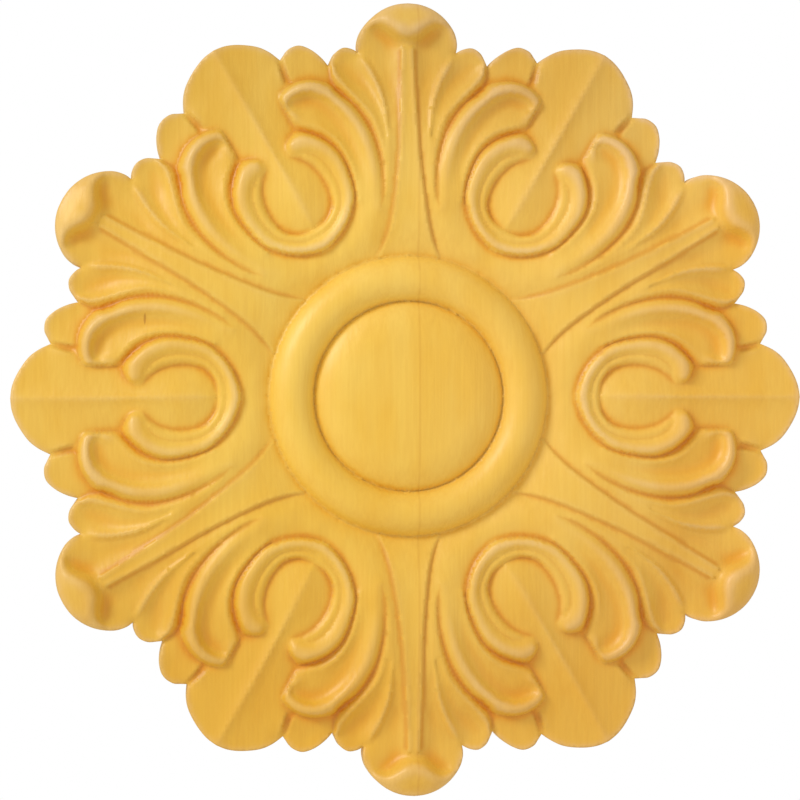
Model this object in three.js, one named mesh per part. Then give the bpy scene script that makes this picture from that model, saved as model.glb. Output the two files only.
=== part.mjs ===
import * as THREE from "three";

// A six-leaved rosette carved from one glued-up panel of wood: flat back, relief front.
// It hangs upright: +Z up, the carving faces -Y and the flat back lies in the plane Y = 0.

// Driving dimensions, in millimetres
const RADIUS = 200; // centre to the tip of a leaf
const LEAVES = 6;
const FIRST_LEAF = 30; // degrees from +X to the first leaf's axis

// The carving is drawn in parts of the radius, as a carver's pattern would be.
const PARTS = 398;
const UNIT = RADIUS / PARTS;

// Boss and ring, in parts
const DOME_FLAT = 56;
const VALLEY_RADIUS = 95;
const RING_CREST = 117;
const RING_FOOT = 140;
const DOME_TOP = 49;
const DOME_SHOULDER = 47;
const VALLEY_HEIGHT = 31;
const CREST_HEIGHT = 48;
const FOOT_HEIGHT = 30;
const DOME_FULLNESS = 0.65; // share of a true arc in the dome's side; the rest falls as a parabola
const RING_FULLNESS = 0.6;

// Leaf tip and petal tip of the outline, in parts
const TIP_CENTRE = 345;
const TIP_RADIUS = 53;
const TIP_SWEEP = 66; // degrees of the tip's arc on each side of the axis
const TIP_HEIGHT = 29;
const TIP_DROP = 5; // fall of the edge from the tip's middle to the end of its arc
const PETAL_TIP = 397;
const ARC_STEPS = 6;

// Where the hand strayed from the even pattern, in parts at the outline: [outwards, sideways
// anticlockwise] for each petal and leaf in turn from the petal at +X
const STRAYS = [
  [0, 2.5], [3, -1.5], [1, 2.5], [-2.5, 4], [2, -2], [2, 1.5],
  [1.5, -0.5], [3.5, 2.5], [-1.5, 3], [-1.5, 2.5], [1.5, 1.5], [2, 3],
];
const BOSS_STRAY = [-3.4, 3]; // to the right and up
const STRAYS_START = 150;
const STRAYS_FULL = 340;

// Mesh steps and least gaps between points, in parts
const LINE_STEP = 9.8;
const RIM_STEP = 8;
const AXIS_GAP = 6;
const EDGE_GAP = 4.4;
const CREST_GAP = 6.2;
const FILL_STEP = 15.5;
const FILL_GAP = 8.4;
const FOOT_GAP = 6;
const AXIS_MARGIN = 3.2;
const SAME_POINT = 0.5;
const ON_AXIS = 1e-6;
const ROW_SHARE = Math.sqrt(3) / 2; // rows of the fill stand as in a net of even triangles

const SHEET_TENSION = 0.004; // keeps the sheet between the carved lines from bulging

const HALF = Math.PI / LEAVES;
const COS = Math.cos(HALF);
const SIN = Math.sin(HALF);

// From (along, across) the petal's axis to (along, across) the leaf's axis; the height stays.
function petal(along, across, height) {
  return [along * COS - across * SIN, along * SIN + across * COS, height];
}

function length(a, b) {
  return Math.hypot(b[0] - a[0], b[1] - a[1]);
}

function onLeafAxis(u, v) {
  return Math.abs(v) < ON_AXIS;
}

function onPetalAxis(u, v) {
  return Math.abs(v * COS - u * SIN) < ON_AXIS;
}

// Smooth rise from 0 at the start to 1 at the end
function ease(start, end, value) {
  const t = Math.min(Math.max((value - start) / (end - start), 0), 1);
  return t * t * (3 - 2 * t);
}

// Where the hand cut a point of the even pattern: [to the right, up]
function asCarved(r, angle) {
  const turn = THREE.MathUtils.euclideanModulo(angle / HALF, STRAYS.length);
  const before = Math.floor(turn) % STRAYS.length;
  const after = (before + 1) % STRAYS.length;
  const blend = ease(0, 1, turn - Math.floor(turn));
  const share = ease(STRAYS_START, STRAYS_FULL, r);
  const along = r + share * (STRAYS[before][0] * (1 - blend) + STRAYS[after][0] * blend);
  const aside = share * (STRAYS[before][1] * (1 - blend) + STRAYS[after][1] * blend);
  return [
    along * Math.cos(angle) - aside * Math.sin(angle) + (1 - share) * BOSS_STRAY[0],
    along * Math.sin(angle) + aside * Math.cos(angle) + (1 - share) * BOSS_STRAY[1],
  ];
}

// Smooth curve through a few marked points, resampled at an even step; each point is [u, v, height].
function smooth(marks, step) {
  const curve = [];
  for (let i = 0; i + 1 < marks.length; i++) {
    const before = marks[Math.max(i - 1, 0)];
    const from = marks[i];
    const to = marks[i + 1];
    const after = marks[Math.min(i + 2, marks.length - 1)];
    const pieces = Math.max(1, Math.round(length(from, to) / step));
    for (let k = 0; k < pieces; k++) {
      const t = k / pieces;
      curve.push(
        from.map((value, axis) => {
          const start = (to[axis] - before[axis]) / 2;
          const end = (after[axis] - value) / 2;
          return (
            (2 * t ** 3 - 3 * t ** 2 + 1) * value +
            (t ** 3 - 2 * t ** 2 + t) * start +
            (3 * t ** 2 - 2 * t ** 3) * to[axis] +
            (t ** 3 - t ** 2) * end
          );
        }),
      );
    }
  }
  curve.push(marks[marks.length - 1]);
  return curve;
}

// Marks on an arc about a point of the leaf's axis, which it starts from
function arc(centre, radius, sweep, height) {
  return Array.from({ length: ARC_STEPS + 1 }, (_, i) => {
    const t = i / ARC_STEPS;
    const angle = sweep * t;
    return [centre + radius * Math.cos(angle), radius * Math.sin(angle), height(t)];
  });
}

// Outline of half a leaf and half a petal, from the leaf's tip to the petal's tip
const NOTCH_TIP = [348.5, 50, 19];
const NOTCH_LOBE = [333.5, 81.3, 18.5];
const NOTCH_PETAL = petal(357, -54.6, 18.5);
const OUTLINE = [
  [
    ...arc(TIP_CENTRE, TIP_RADIUS, THREE.MathUtils.degToRad(TIP_SWEEP), (t) => TIP_HEIGHT - TIP_DROP * t * t),
    [356.5, 50.6, 22.5],
    NOTCH_TIP,
  ],
  [NOTCH_TIP, [351.8, 57, 21], [352.6, 66, 22], [347.5, 74, 21.5], [340, 78.3, 20.5], NOTCH_LOBE],
  [
    NOTCH_LOBE,
    [341.5, 89, 20.5],
    [349, 100, 21.5],
    [352.5, 112, 21.5],
    [348.5, 122.5, 21],
    [342, 127.5, 20],
    NOTCH_PETAL,
  ],
  [
    NOTCH_PETAL,
    petal(PETAL_TIP - 27.5, -48.5, 21),
    petal(PETAL_TIP - 17, -39.8, 21.5),
    petal(PETAL_TIP - 7, -25, 22),
    petal(PETAL_TIP - 1.6, -12, 22.5),
    petal(PETAL_TIP, 0, 24.5),
  ],
];

// Lines of the carving on half a leaf and half a petal: [u along the leaf, v across it, height].
// A sharp line is an edge or the bottom of a groove; a round line is a soft crest or hollow.
const SHARP_LINES = {
  ringFoot: arc(0, RING_FOOT, HALF, () => FOOT_HEIGHT),
  stemGroove: [
    [137, 32.5, 30],
    [153, 26, 33.3],
    [173, 20.3, 38.5],
    [200, 16.2, 41.6],
    [220, 14, 41.3],
    [240, 12, 40.2],
    [260, 11, 38.5],
    [280, 10.3, 35.9],
    [300, 9.7, 32.2],
    [320, 9, 28.2],
    [354, 7.6, 25.8],
  ],
  leafRidge: [
    [205, 22.3, 43.9],
    [225, 20.6, 43.4],
    [245, 20.6, 42.2],
    [262, 21.4, 40.8],
    [280, 22.8, 38.4],
    [300, 26, 34.9],
    [320, 33.3, 29.8],
    [335, 41.5, 26],
    [348.5, 50, 19],
  ],
  ridgeFoot: [
    [262, 17.5, 39.3],
    [280, 19, 35.8],
    [300, 21.4, 31.2],
    [320, 27.6, 26],
    [335, 35, 22.8],
    [345, 41, 21.2],
  ],
  lobeRim: [
    [200, 25, 44],
    [225, 23.8, 43.8],
    [256, 27.8, 41.5],
    [283, 37.3, 37.5],
    [303, 55, 32.3],
    [322, 73.5, 27.3],
    [332, 77, 24.8],
    [340, 78.3, 20.5],
  ],
  crease: [
    [186, 30, 43.8],
    [201, 27.2, 42.8],
    [215, 26.6, 42],
    [238, 29, 39.8],
    [263, 35.8, 36.3],
    [280, 44.3, 32.8],
    [294.5, 55.5, 29],
    [306.3, 70, 24.5],
    [311.6, 76, 23],
    [320, 79.8, 21.5],
    [333.5, 81.3, 18.5],
  ],
  lobeFoot: [
    [311.6, 76, 23],
    [315.5, 81, 22.5],
    [318.2, 90, 22.5],
    [319, 101, 22.8],
    [317, 112, 23],
    [312.3, 122, 23.8],
    [306, 129.5, 25],
    petal(326, -32.2, 26),
  ],
  endFoot: [
    petal(326, -32.2, 26),
    petal(316, -31.8, 26.3),
    petal(305, -31.4, 26.5),
    petal(296, -31.3, 27),
    [266, 116.5, 28],
  ],
  innerRim: [
    [216.8, 54.5, 42.3],
    [236.6, 60.8, 41],
    [255, 72.6, 38.8],
    [266.8, 88.4, 36],
    [271.4, 105, 33.5],
    [274.3, 119.5, 31.3],
  ],
  curlGroove: [
    petal(167, 0, 35),
    [157, 71, 35.8],
    [173, 61.2, 37],
    [191, 56, 38.5],
    [207, 56, 39],
    [230, 63.4, 37.5],
    [246, 72.6, 35.3],
    [257.6, 87.1, 32.5],
    [263.8, 103, 29.8],
    [266, 116.5, 28],
  ],
  curlStep: [
    petal(183, 0, 39.5),
    [169, 79, 39.7],
    [186, 70.6, 40],
    [200, 70.2, 40],
    [216.8, 75.9, 40],
    [232.6, 87.1, 39.5],
    [240.5, 99, 39],
    [242, 111, 38.5],
  ],
  rootGroove: [
    petal(191.5, 0, 37),
    [176.8, 84.2, 35.3],
    [190, 79.3, 34.8],
    [204, 82, 35.3],
    [218.2, 89.7, 35.6],
    [230, 101.6, 35.5],
    [235.8, 114, 35.8],
    [237.5, 123.5, 36],
  ],
  curlEnd: [
    [237.5, 123.5, 36],
    [243.5, 126.3, 35],
    [250, 126.8, 33.5],
    [256.5, 124.3, 31],
    [262, 120.3, 29],
    [266, 116.5, 28],
  ],
  petalRidge: [
    petal(191.5, 0, 37),
    petal(200, 0, 40.4),
    petal(212, 0, 42.8),
    petal(228, 0, 43.8),
    petal(250, 0, 42.4),
    petal(275, 0, 38.5),
    petal(300, 0, 34.8),
    petal(340, 0, 30.4),
    petal(PETAL_TIP, 0, 24.5),
  ],
  petalGroove: [
    [335.6, 131.2, 18.8],
    [325, 128.2, 19.8],
    [315, 125.2, 21.3],
  ],
};
const ROUND_LINES = {
  tipRim: [
    [366, 0, 36.5],
    [367.5, 8, 36.5],
    [372, 15, 36],
    [377.5, 22, 34.8],
    [381, 29, 32.6],
    [381, 35.5, 30.3],
    [377.5, 40.5, 27.5],
  ],
  tipWall: [
    [356, 0, 28],
    [357.5, 7, 26.4],
    [362.5, 14, 25.2],
    [368, 21, 25],
    [372.3, 28, 25.2],
    [373, 34, 24.8],
    [370, 38.5, 24.2],
    [362, 42, 23.3],
    [352, 43, 22],
  ],
  petalFlank: [
    petal(240, -7, 41.1),
    petal(255, -7, 38.9),
    petal(275, -7, 35.3),
    petal(300, -7, 31.7),
    petal(340, -7, 27.8),
    petal(PETAL_TIP - 13, -6, 24),
  ],
  petalBulb: [petal(199, -11, 38.4), petal(212, -14.5, 40), petal(228, -13.5, 40.8)],
  shoulder: [[150, 45, 36.5], [143, 65, 37]],
  root: [[160, 40, 39], [178, 40, 42], [195, 41, 43.5]],
  stemHollow: [
    [139, 0, 31],
    [150, 0, 34.8],
    [170, 0, 40.3],
    [200, 0, 43.5],
    [240, 0, 42.5],
    [280, 0, 38.3],
    [320, 0, 30.3],
    [350, 0, 28.2],
  ],
  tipFloor: [
    [275, 14.2, 37],
    [300, 15.3, 31],
    [320, 18.6, 25],
    [340, 24.2, 21.8],
    [352, 28, 21.2],
    [358, 29.5, 21.5],
  ],
  tipCap: [[377, 0, 38.5], [380, 11, 37.5], [384, 20, 35]],
  lobeFloor: [
    [262, 22, 39.6],
    [283, 26, 36],
    [303, 34, 30.3],
    [322, 45, 24.3],
    [337, 55, 21.2],
    [343, 62, 20.5],
    [341, 68, 20.7],
    [333, 69.5, 21.2],
    [320, 60, 23.7],
    [303, 44.5, 29.8],
    [283, 31.5, 35.6],
    [266, 25.5, 38.8],
  ],
  lobeCrest: [
    [190, 31, 44.3],
    [209, 35, 45],
    [230, 37.5, 45.3],
    [252.4, 44, 44.3],
    [272, 53.5, 42.2],
    [287, 65.5, 40.2],
    [298.5, 78, 38.8],
    [305.5, 90, 38],
    [307.5, 101, 37.5],
    [306, 112, 36.5],
    [302.3, 121, 35],
    [297.5, 127.3, 33.8],
    petal(320, -35.2, 32.8),
    petal(311, -35, 32),
    petal(302, -34.8, 31.6),
    [274.3, 119.5, 31.3],
  ],
  lobeWall: [
    [209, 41, 44],
    [230, 43.5, 43],
    [252, 50.5, 40.6],
    [270, 59.5, 37.8],
    [283, 69.5, 35.2],
    [293.5, 81, 33.4],
    [300, 92, 32],
    [302.3, 102, 31.3],
    [301, 111, 30.8],
    [297.5, 118.5, 30.4],
    [293, 123.5, 30.2],
    [287.5, 122.6, 30],
  ],
  lobeHollow: [
    [215, 48, 42.2],
    [232, 52.5, 40],
    [250, 61, 36.8],
    [268, 74, 33.3],
    [280, 88, 30.8],
    [286, 101, 29.4],
    [286, 112, 29],
  ],
  curlCrest: [
    petal(175, 0, 44),
    [162.4, 76.3, 44],
    [182, 65.3, 44.3],
    [200, 63.5, 44.5],
    [218, 67.5, 44.5],
    [237, 79.5, 44],
    [249, 96, 43.3],
    [252, 109, 42.5],
    [250, 119.5, 41],
  ],
  petalFace: [
    petal(300, -14, 30.2),
    petal(320, -16, 27.9),
    petal(345, -17, 25.4),
    petal(PETAL_TIP - 22, -15, 23.2),
  ],
  backScoop: [[331, 100, 20.3], [337, 105, 19.8], [344, 109.5, 20]],
};

// Rounded fall from 1 at t = 0 to 0 at t = 1
function bow(t, fullness) {
  return (1 - fullness) * (1 - t * t) + fullness * Math.sqrt(Math.max(0, 1 - t * t));
}

// Height of the boss and its ring at a distance from the centre
function bossHeight(r) {
  if (r <= DOME_FLAT) return DOME_TOP - (DOME_TOP - DOME_SHOULDER) * (r / DOME_FLAT) ** 2;
  if (r <= VALLEY_RADIUS) {
    const fall = (r - DOME_FLAT) / (VALLEY_RADIUS - DOME_FLAT);
    return VALLEY_HEIGHT + (DOME_SHOULDER - VALLEY_HEIGHT) * bow(fall, DOME_FULLNESS);
  }
  if (r <= RING_CREST) {
    const rise = (RING_CREST - r) / (RING_CREST - VALLEY_RADIUS);
    return VALLEY_HEIGHT + (CREST_HEIGHT - VALLEY_HEIGHT) * bow(rise, RING_FULLNESS);
  }
  const drop = (r - RING_CREST) / (RING_FOOT - RING_CREST);
  return FOOT_HEIGHT + (CREST_HEIGHT - FOOT_HEIGHT) * bow(drop, RING_FULLNESS);
}

// Heights of a springy sheet laid over the pattern. It is held at the marked points, folds freely along sharp
// lines and takes the shape of least bending everywhere else.
function settle(points, triangles, held, folded) {
  const count = points.length;
  const area = new Float64Array(count);
  const slope = points.map(() => new Map());
  const pull = (a, b, amount) => slope[a].set(b, (slope[a].get(b) ?? 0) + amount);
  for (const corners of triangles)
    for (let k = 0; k < 3; k++) {
      const [a, b, c] = [corners[k], corners[(k + 1) % 3], corners[(k + 2) % 3]];
      const toA = [points[a][0] - points[c][0], points[a][1] - points[c][1]];
      const toB = [points[b][0] - points[c][0], points[b][1] - points[c][1]];
      const cross = Math.abs(toA[0] * toB[1] - toA[1] * toB[0]);
      const weight = (toA[0] * toB[0] + toA[1] * toB[1]) / (2 * cross);
      pull(a, a, weight);
      pull(b, b, weight);
      pull(a, b, -weight);
      pull(b, a, -weight);
      area[a] += cross / 6;
    }
  const force = points.map(() => new Float64Array(count));
  slope.forEach((row, k) => {
    const stiffness = folded[k] ? 0 : 1 / area[k];
    for (const [i, first] of row) {
      force[k][i] += SHEET_TENSION * first;
      for (const [j, second] of row) force[i][j] += stiffness * first * second;
    }
  });
  const free = points.map((_, i) => i).filter((i) => held[i] === undefined);
  const rows = free.map((i) => {
    const known = held.reduce((sum, height, j) => (height === undefined ? sum : sum + force[i][j] * height), 0);
    return [...free.map((j) => force[i][j]), -known];
  });
  rows.forEach((row, k) => {
    for (const other of rows.slice(k + 1)) {
      const share = other[k] / row[k];
      if (share !== 0) for (let j = k; j < other.length; j++) other[j] -= share * row[j];
    }
  });
  const heights = [...held];
  for (let k = rows.length - 1; k >= 0; k--) {
    let rest = rows[k][rows.length];
    for (let j = k + 1; j < rows.length; j++) rest -= rows[k][j] * heights[free[j]];
    heights[free[k]] = rest / rows[k][k];
  }
  return heights;
}

function inside(u, v, polygon) {
  let within = false;
  for (let i = 0, j = polygon.length - 1; i < polygon.length; j = i++) {
    const [ui, vi] = polygon[i];
    const [uj, vj] = polygon[j];
    if (vi > v !== vj > v && u < ((uj - ui) * (v - vi)) / (vj - vi) + ui) within = !within;
  }
  return within;
}

// Delaunay triangles of flat points, by adding one point at a time
function triangulate(points) {
  const far = 10 * PARTS;
  const all = [...points, [-far, -far], [far, -far], [0, far]];
  const n = points.length;
  let triangles = [circle(n, n + 1, n + 2)];
  function circle(a, b, c) {
    const [ax, ay] = all[a];
    const [bx, by] = all[b];
    const [cx, cy] = all[c];
    const d = 2 * (ax * (by - cy) + bx * (cy - ay) + cx * (ay - by));
    const ux = ((ax * ax + ay * ay) * (by - cy) + (bx * bx + by * by) * (cy - ay) + (cx * cx + cy * cy) * (ay - by)) / d;
    const uy = ((ax * ax + ay * ay) * (cx - bx) + (bx * bx + by * by) * (ax - cx) + (cx * cx + cy * cy) * (bx - ax)) / d;
    return { corners: [a, b, c], ux, uy, square: (ux - ax) ** 2 + (uy - ay) ** 2 };
  }
  for (let p = 0; p < n; p++) {
    const [x, y] = all[p];
    const edges = new Map();
    triangles = triangles.filter((t) => {
      if ((x - t.ux) ** 2 + (y - t.uy) ** 2 >= t.square) return true;
      for (let k = 0; k < 3; k++) {
        const a = t.corners[k];
        const b = t.corners[(k + 1) % 3];
        if (!edges.delete(b + "," + a)) edges.set(a + "," + b, [a, b]);
      }
      return false;
    });
    for (const [a, b] of edges.values()) triangles.push(circle(a, b, p));
  }
  return triangles.map((t) => t.corners).filter((t) => t.every((corner) => corner < n));
}

// One half leaf with half a petal: its points, triangles and heights, and the points of its outline
function halfSector() {
  const points = [];
  const held = [];
  const folded = [];
  const add = (u, v, gap, height, sharp) => {
    if (points.some((point) => length(point, [u, v]) < gap)) return -1;
    const turned = Math.hypot(u, v) < RING_FOOT + SAME_POINT;
    held.push(turned ? bossHeight(Math.hypot(u, v)) : height);
    folded.push(turned || sharp);
    return points.push([u, v]) - 1;
  };
  const centre = add(0, 0, 0);
  const rim = [];
  for (const marks of OUTLINE)
    for (const [u, v, height] of smooth(marks, RIM_STEP)) {
      const index = add(u, v, SAME_POINT, height, true);
      if (index >= 0) rim.push(index);
    }
  const shape = [[0, 0], ...rim.map((index) => points[index])];
  const within = (u, v) => v > AXIS_MARGIN && u * SIN - v * COS > AXIS_MARGIN && inside(u, v, shape);

  // the turned boss, then the marks and even steps along both axes
  const stops = [0, DOME_FLAT, VALLEY_RADIUS, RING_CREST, RING_FOOT];
  for (const r of stops.slice(1).flatMap((stop, i) => [(stops[i] + stop) / 2, stop])) {
    const pieces = r < DOME_FLAT ? 2 : r < VALLEY_RADIUS ? 3 : 4;
    for (let k = 0; k <= pieces; k++) {
      const angle = (HALF * k) / pieces;
      add(r * Math.cos(angle), r * Math.sin(angle), SAME_POINT);
    }
  }
  const lines = [
    ...Object.values(SHARP_LINES).map((marks) => [smooth(marks, LINE_STEP), true]),
    ...Object.values(ROUND_LINES).map((marks) => [smooth(marks, LINE_STEP), false]),
  ];
  for (const [curve, sharp] of lines)
    for (const [u, v, height] of curve) if (onLeafAxis(u, v) || onPetalAxis(u, v)) add(u, v, SAME_POINT, height, sharp);
  const leafTip = TIP_CENTRE + TIP_RADIUS;
  for (let r = RING_FOOT + LINE_STEP; r < Math.max(leafTip, PETAL_TIP); r += LINE_STEP) {
    if (r < leafTip) add(r, 0, AXIS_GAP);
    if (r < PETAL_TIP) add(r * COS, r * SIN, AXIS_GAP);
  }

  // the carved lines, then a net of even triangles between them
  for (const [curve, sharp] of lines)
    for (const [u, v, height] of curve) if (within(u, v)) add(u, v, sharp ? EDGE_GAP : CREST_GAP, height, sharp);
  for (let row = 0; row * FILL_STEP * ROW_SHARE < PARTS / 2; row++)
    for (let u = RING_FOOT + (row % 2) * FILL_STEP * 0.5; u < PARTS; u += FILL_STEP) {
      const v = row * FILL_STEP * ROW_SHARE;
      if (within(u, v) && Math.hypot(u, v) > RING_FOOT + FOOT_GAP) add(u, v, FILL_GAP);
    }
  const triangles = triangulate(points).filter((corners) => {
    const u = corners.reduce((sum, index) => sum + points[index][0], 0) / 3;
    const v = corners.reduce((sum, index) => sum + points[index][1], 0) / 3;
    return inside(u, v, shape);
  });
  return { points, triangles, rim, centre, heights: settle(points, triangles, held, folded) };
}

// The whole rosette as one closed mesh: twelve half sectors in front, walls and a flat back
function rosette() {
  const half = halfSector();
  const positions = [];
  const faces = [];
  const shared = new Map();
  const place = (index, sector, side) => {
    const [u, v] = half.points[index];
    let key = `${index} ${sector} ${side}`;
    if (index === half.centre) key = "centre";
    else if (onLeafAxis(u, v)) key = `${index} leaf ${sector}`;
    else if (onPetalAxis(u, v)) key = `${index} petal ${(sector + (side > 0 ? 1 : 0)) % LEAVES}`;
    if (!shared.has(key)) {
      const turn = THREE.MathUtils.degToRad(FIRST_LEAF) + sector * 2 * HALF;
      const angle = Math.atan2(v, u) * side + turn;
      const [x, z] = asCarved(Math.hypot(u, v), angle);
      shared.set(key, positions.length / 3);
      positions.push(x * UNIT, -half.heights[index] * UNIT, z * UNIT);
    }
    return shared.get(key);
  };
  const loop = [];
  for (let sector = 0; sector < LEAVES; sector++)
    for (const side of [-1, 1]) {
      for (const corners of half.triangles) {
        const [a, b, c] = corners.map((index) => place(index, sector, side));
        const [p, q, s] = corners.map((index) => half.points[index]);
        const turn = (q[0] - p[0]) * (s[1] - p[1]) - (q[1] - p[1]) * (s[0] - p[0]);
        faces.push(turn * side > 0 ? [a, b, c] : [a, c, b]);
      }
      const rim = side > 0 ? half.rim : [...half.rim].reverse();
      for (const index of rim) {
        const at = place(index, sector, side);
        if (!loop.includes(at)) loop.push(at);
      }
    }
  const flat = loop.map((at) => new THREE.Vector2(positions[3 * at], positions[3 * at + 2]));
  const base = positions.length / 3;
  flat.forEach((point) => positions.push(point.x, 0, point.y));
  loop.forEach((at, i) => {
    const next = (i + 1) % loop.length;
    faces.push([at, base + i, base + next], [at, base + next, loop[next]]);
  });
  for (const [a, b, c] of THREE.ShapeUtils.triangulateShape(flat, []))
    faces.push([base + a, base + c, base + b]);
  const geometry = new THREE.BufferGeometry();
  geometry.setAttribute("position", new THREE.Float32BufferAttribute(positions, 3));
  geometry.setIndex(faces.flat());
  return geometry;
}

const wood = new THREE.MeshStandardMaterial({ color: 0xe0ab48, roughness: 0.5 });
const group = new THREE.Group();
const piece = new THREE.Mesh(rosette(), wood);
piece.name = "rosette";
group.add(piece);

export default group;
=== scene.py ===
"""Carved wooden rosette: fine relief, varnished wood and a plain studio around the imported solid."""

import logging
import math
from dataclasses import dataclass, field
from enum import Enum

import bpy
import numpy as np
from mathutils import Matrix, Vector, kdtree
from mathutils.geometry import delaunay_2d_cdt

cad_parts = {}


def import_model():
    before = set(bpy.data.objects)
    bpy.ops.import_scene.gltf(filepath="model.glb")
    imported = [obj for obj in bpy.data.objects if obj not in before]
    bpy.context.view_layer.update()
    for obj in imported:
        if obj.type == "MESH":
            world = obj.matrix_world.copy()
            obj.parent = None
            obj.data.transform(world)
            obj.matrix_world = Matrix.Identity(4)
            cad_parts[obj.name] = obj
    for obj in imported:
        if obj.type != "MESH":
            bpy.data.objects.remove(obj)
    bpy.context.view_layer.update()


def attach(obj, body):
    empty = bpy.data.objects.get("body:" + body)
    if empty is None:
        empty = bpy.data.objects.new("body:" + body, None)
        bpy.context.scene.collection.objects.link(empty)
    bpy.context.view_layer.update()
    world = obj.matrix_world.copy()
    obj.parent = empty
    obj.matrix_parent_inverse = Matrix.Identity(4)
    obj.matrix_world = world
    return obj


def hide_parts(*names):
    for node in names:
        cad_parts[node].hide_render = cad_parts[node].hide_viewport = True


LOG = logging.getLogger("rosette")

# The pattern, in parts of the radius: the same drawing as the solid's
RADIUS_M = 0.200
PARTS = 398.0
UNIT = RADIUS_M / PARTS
LEAVES = 6
FIRST_LEAF = math.radians(30.0)
HALF = math.pi / LEAVES
COS = math.cos(HALF)
SIN = math.sin(HALF)

# Leaf tip and petal tip of the outline, in parts
TIP_CENTRE = 345.0
TIP_RADIUS = 53.0
TIP_SWEEP = math.radians(66.0)
TIP_HEIGHT = 29
TIP_DROP = 5
TIP_STEPS = 6
PETAL_TIP = 397.0

# Where the hand strayed from the even pattern, in parts at the outline: outwards, then sideways
# anticlockwise, for each petal and leaf in turn from the petal at +X
STRAYS = np.array(
    [
        (0, 2.5), (3, -1.5), (1, 2.5), (-2.5, 4), (2, -2), (2, 1.5),
        (1.5, -0.5), (3.5, 2.5), (-1.5, 3), (-1.5, 2.5), (1.5, 1.5), (2, 3),
    ]
)
BOSS_STRAY = (-3.4, 3.0)
STRAYS_START = 150.0
STRAYS_FULL = 340.0

# How much varnish and painted groove shade darken each cut line, from 0 to 1
VARNISH_AND_GROOVE_SHADE = {
    "stem_groove": 0.9,
    "crease": 1.0,
    "curl_groove": 0.9,
    "root_groove": 0.8,
    "curl_step": 0.4,
    "curl_end": 0.6,
    "end_foot": 0.7,
    "lobe_foot": 0.5,
    "petal_groove": 1.0,
    "groove_floor": 0.8,
    "ridge_foot": 0.3,
}

# Reach of half a leaf and half a petal, and the spacing of rows in a net of even triangles
FAR_ALONG = 400.0
FAR_ACROSS = 210.0
ROW_SHARE = 0.866

# Smallest numbers that count, in parts
ON_AXIS = 1e-3
SAME_PLACE = 1e-5
TINY = 1e-6

INNER_TRIANGLES = 1  # the triangulation keeps those inside the border

Place = tuple[float, float]
Mark = tuple[float, float, float]
Color = tuple[float, float, float, float]


def ease(start: float, end: float, value: np.ndarray) -> np.ndarray:
    """A smooth rise from 0 at the start to 1 at the end."""
    t = np.clip((value - start) / (end - start), 0.0, 1.0)
    return t * t * (3 - 2 * t)


def as_carved(r: np.ndarray, angle: np.ndarray) -> tuple[np.ndarray, np.ndarray]:
    """Moves points of the even pattern to where the hand cut them.

    Args:
        r: Distances from the centre.
        angle: Angles from +X, in radians.

    Returns:
        Places to the right and up, in parts.
    """
    turn = np.mod(angle / HALF, len(STRAYS))
    before = np.floor(turn).astype(int) % len(STRAYS)
    blend = ease(0.0, 1.0, turn - np.floor(turn))[:, None]
    stray = STRAYS[before] * (1 - blend) + STRAYS[(before + 1) % len(STRAYS)] * blend
    share = ease(STRAYS_START, STRAYS_FULL, r)
    along, aside = r + stray[:, 0] * share, stray[:, 1] * share
    x = along * np.cos(angle) - aside * np.sin(angle) + (1 - share) * BOSS_STRAY[0]
    z = along * np.sin(angle) + aside * np.cos(angle) + (1 - share) * BOSS_STRAY[1]
    return x, z


class Edge(Enum):
    """How the carver's tool leaves a line."""

    SHARP = "sharp"
    ROUND = "round"


def petal(along: float, across: float, height: float) -> Mark:
    """A mark given along and across the petal's axis, turned into leaf coordinates."""
    return (along * COS - across * SIN, along * SIN + across * COS, height)


def arc(centre: float, radius: float, start: float, end: float, heights: list[float]) -> list[Mark]:
    """Marks on an arc about a point of the leaf's axis.

    Args:
        centre: Place of the arc's centre on the leaf's axis.
        radius: Radius of the arc.
        start: First angle, in radians.
        end: Last angle, in radians.
        heights: One height for each mark, in even steps.

    Returns:
        The marks in order.
    """
    steps = len(heights) - 1
    marks = []
    for i, height in enumerate(heights):
        angle = start + (end - start) * i / steps
        marks.append((centre + radius * math.cos(angle), radius * math.sin(angle), height))
    return marks


def smooth(marks: list[Mark], step: float) -> np.ndarray:
    """Draws a smooth curve through marks.

    Args:
        marks: Points to pass through, each with its height.
        step: Rough distance between the points of the curve.

    Returns:
        Points of the curve, one row each: along, across, height.
    """
    points = [np.array(mark, float) for mark in marks]
    rows = []
    for i in range(len(points) - 1):
        here, there = points[i], points[i + 1]
        before, after = points[max(i - 1, 0)], points[min(i + 2, len(points) - 1)]
        pieces = max(1, round(float(np.hypot(*(there - here)[:2])) / step))
        for k in range(pieces):
            t = k / pieces
            rows.append(
                (2 * t**3 - 3 * t**2 + 1) * here
                + (t**3 - 2 * t**2 + t) * (there - before) / 2
                + (3 * t**2 - 2 * t**3) * there
                + (t**3 - t**2) * (after - here) / 2
            )
    rows.append(points[-1])
    return np.array(rows)


def inside(points: np.ndarray, polygon: np.ndarray) -> np.ndarray:
    """Which points lie inside a polygon.

    Args:
        points: Rows of two coordinates.
        polygon: Corners in order.

    Returns:
        True for each point inside.
    """
    x, y = points.T
    within = np.zeros(len(points), bool)
    for (ax, ay), (bx, by) in zip(polygon, np.roll(polygon, 1, axis=0)):
        if ay == by:
            continue
        crosses = (ay > y) != (by > y)
        within ^= crosses & (x < (bx - ax) * (y - ay) / (by - ay) + ax)
    return within


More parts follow.
